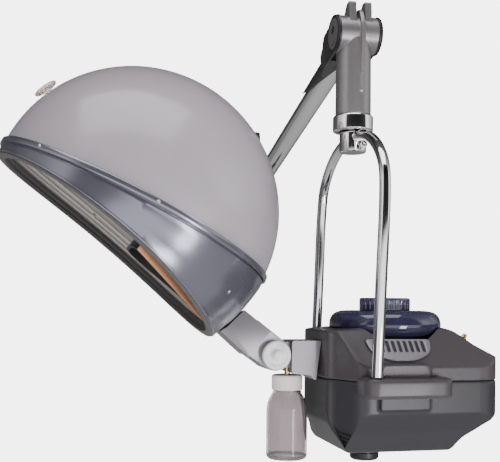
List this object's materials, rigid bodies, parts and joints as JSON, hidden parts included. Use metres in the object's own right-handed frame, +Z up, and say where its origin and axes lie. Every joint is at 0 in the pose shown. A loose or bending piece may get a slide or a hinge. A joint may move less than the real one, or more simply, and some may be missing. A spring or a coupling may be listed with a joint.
{
  "type": "hood hair dryer",
  "caption": "Wall-arm salon hair steamer: tilting domed hood on a steam generator with water tank, hung by a bail from a lifting, swivelling arm.",
  "frame": {"origin": "centre of the wall plate's back face", "axes": "+Z up, +Y into the wall, hood facing -X at rest"},
  "size_m": [0.6825, 0.925, 0.6435],
  "materials": {
    "cast_black": "satin black paint",
    "cast_grey": "grey hammer-finish casting",
    "chrome": "polished",
    "steel": "plated",
    "black_plastic": "moulded",
    "rubber": "moulded",
    "case_upper": "metallic grey, fine texture",
    "case_lower": "dark grey, fine texture",
    "satin_silver": "satin silver",
    "trim_silver": "bluish metallic silver",
    "dome": "translucent smoked grey",
    "liner": "light grey",
    "white": "white",
    "cream": "cream",
    "clear": "clear",
    "tank": "translucent blue",
    "copper": "bright copper",
    "brass": "machined",
    "aluminium": "mill"
  },
  "bodies": {
    "wall_mount": {"wall_bracket": "cast_black", "spindle": "cast_black", "spindle_cap": "black_plastic", "wall_screw_lower_left": "steel", "wall_screw_upper_left": "steel", "wall_screw_lower_right": "steel", "wall_screw_upper_right": "steel"},
    "arm_base": {"swivel_yoke": "cast_black", "rear_pivot_pin": "steel", "rear_level_pin": "steel"},
    "lift_arm": {"arm_tube": "chrome", "front_fork": "cast_black", "rear_fork": "cast_black", "gas_strut": "black_plastic", "knuckle_pin": "steel", "left_cap_ring": "rubber", "left_cap": "cast_grey", "right_cap": "rubber"},
    "levelling_rod": {"level_rod": "steel"},
    "knuckle": {"knuckle_post": "cast_grey", "swivel_collar": "chrome"},
    "head": {"swivel_pin": "chrome", "bail": "chrome", "bail_screw": "steel", "upper_case": "case_upper", "lower_case": "case_lower", "near_vent_grille": "satin_silver", "far_vent_grille": "satin_silver", "base_spigot": "black_plastic", "near_handle": "case_upper", "far_handle": "case_upper", "boiler": "aluminium", "heater_ring": "copper", "feed_valve": "white", "steam_pipe": "aluminium", "relief_valve": "brass", "control_panel": "black_plastic", "mains_inlet": "black_plastic", "tilt_bracket": "satin_silver", "drain_nozzle": "brass", "bottle_cap": "cream"},
    "timer": {"timer_knob": "black_plastic"},
    "switch": {"power_switch": "rubber"},
    "tank": {"water_tank": "tank"},
    "tank_lid": {"tank_cap": "tank"},
    "jar": {"bottle": "clear"},
    "hood": {"hood_dome": "dome", "rim_band": "trim_silver", "rim_flange": "trim_silver", "hood_liner": "liner", "rim_gutter": "black_plastic", "hood_neck": "satin_silver", "steam_duct": "aluminium", "steam_tray": "black_plastic", "copper_strip": "copper", "sight_knob": "clear", "tilt_nut": "black_plastic"},
    "clamp_knob": {"tilt_knob": "white"}
  },
  "joints": [
    {"name": "arm_swivel", "type": "hinge", "parent": "wall_mount", "child": "arm_base", "pos_m": [0, -0.08, 0], "axis": [0, 0, 1], "range_deg": [-40, 75]},
    {"name": "arm_lift", "type": "hinge", "parent": "arm_base", "child": "lift_arm", "pos_m": [0, -0.13, 0.051], "axis": [-1, 0, 0], "range_deg": [-30, 20]},
    {"name": "level_rod_swing", "type": "hinge", "parent": "arm_base", "child": "levelling_rod", "pos_m": [0, -0.13, 0.062], "axis": [-1, 0, 0], "range_deg": [-30, 20]},
    {"name": "knuckle_level", "type": "hinge", "parent": "lift_arm", "child": "knuckle", "pos_m": [0, -0.73, 0.186], "axis": [-1, 0, 0], "range_deg": [-20, 30]},
    {"name": "head_swivel", "type": "hinge", "parent": "knuckle", "child": "head", "pos_m": [0, -0.73, 0], "axis": [0, 0, 1], "range_deg": [-40, 120]},
    {"name": "hood_tilt", "type": "hinge", "parent": "head", "child": "hood", "pos_m": [-0.118, -0.73, -0.265], "axis": [0, 1, 0], "range_deg": [-40, 10]},
    {"name": "clamp_knob_turn", "type": "hinge", "parent": "hood", "child": "clamp_knob", "pos_m": [-0.118, -0.73, -0.265], "axis": [0, 1, 0], "range_deg": [-90, 90]},
    {"name": "tank_lift", "type": "slide", "parent": "head", "child": "tank", "axis": [0, 0, 1], "range_m": [0, 0.1]},
    {"name": "tank_cap_lift", "type": "slide", "parent": "tank", "child": "tank_lid", "axis": [0, 0, 1], "range_m": [0, 0.06]},
    {"name": "bottle_drop", "type": "slide", "parent": "head", "child": "jar", "axis": [0, 0, -1], "range_m": [0, 0.06]},
    {"name": "timer_turn", "type": "hinge", "parent": "head", "child": "timer", "pos_m": [0.18, -0.708, -0.322], "axis": [1, 0, 0], "range_deg": [0, 300]},
    {"name": "switch_rock", "type": "hinge", "parent": "head", "child": "switch", "pos_m": [0.178, -0.763, -0.322], "axis": [0, 1, 0], "range_deg": [-6, 6]}
  ],
  "couplings": [
    {"joint": "level_rod_swing", "follows": "arm_lift", "ratio": 1},
    {"joint": "knuckle_level", "follows": "arm_lift", "ratio": -1}
  ]
}
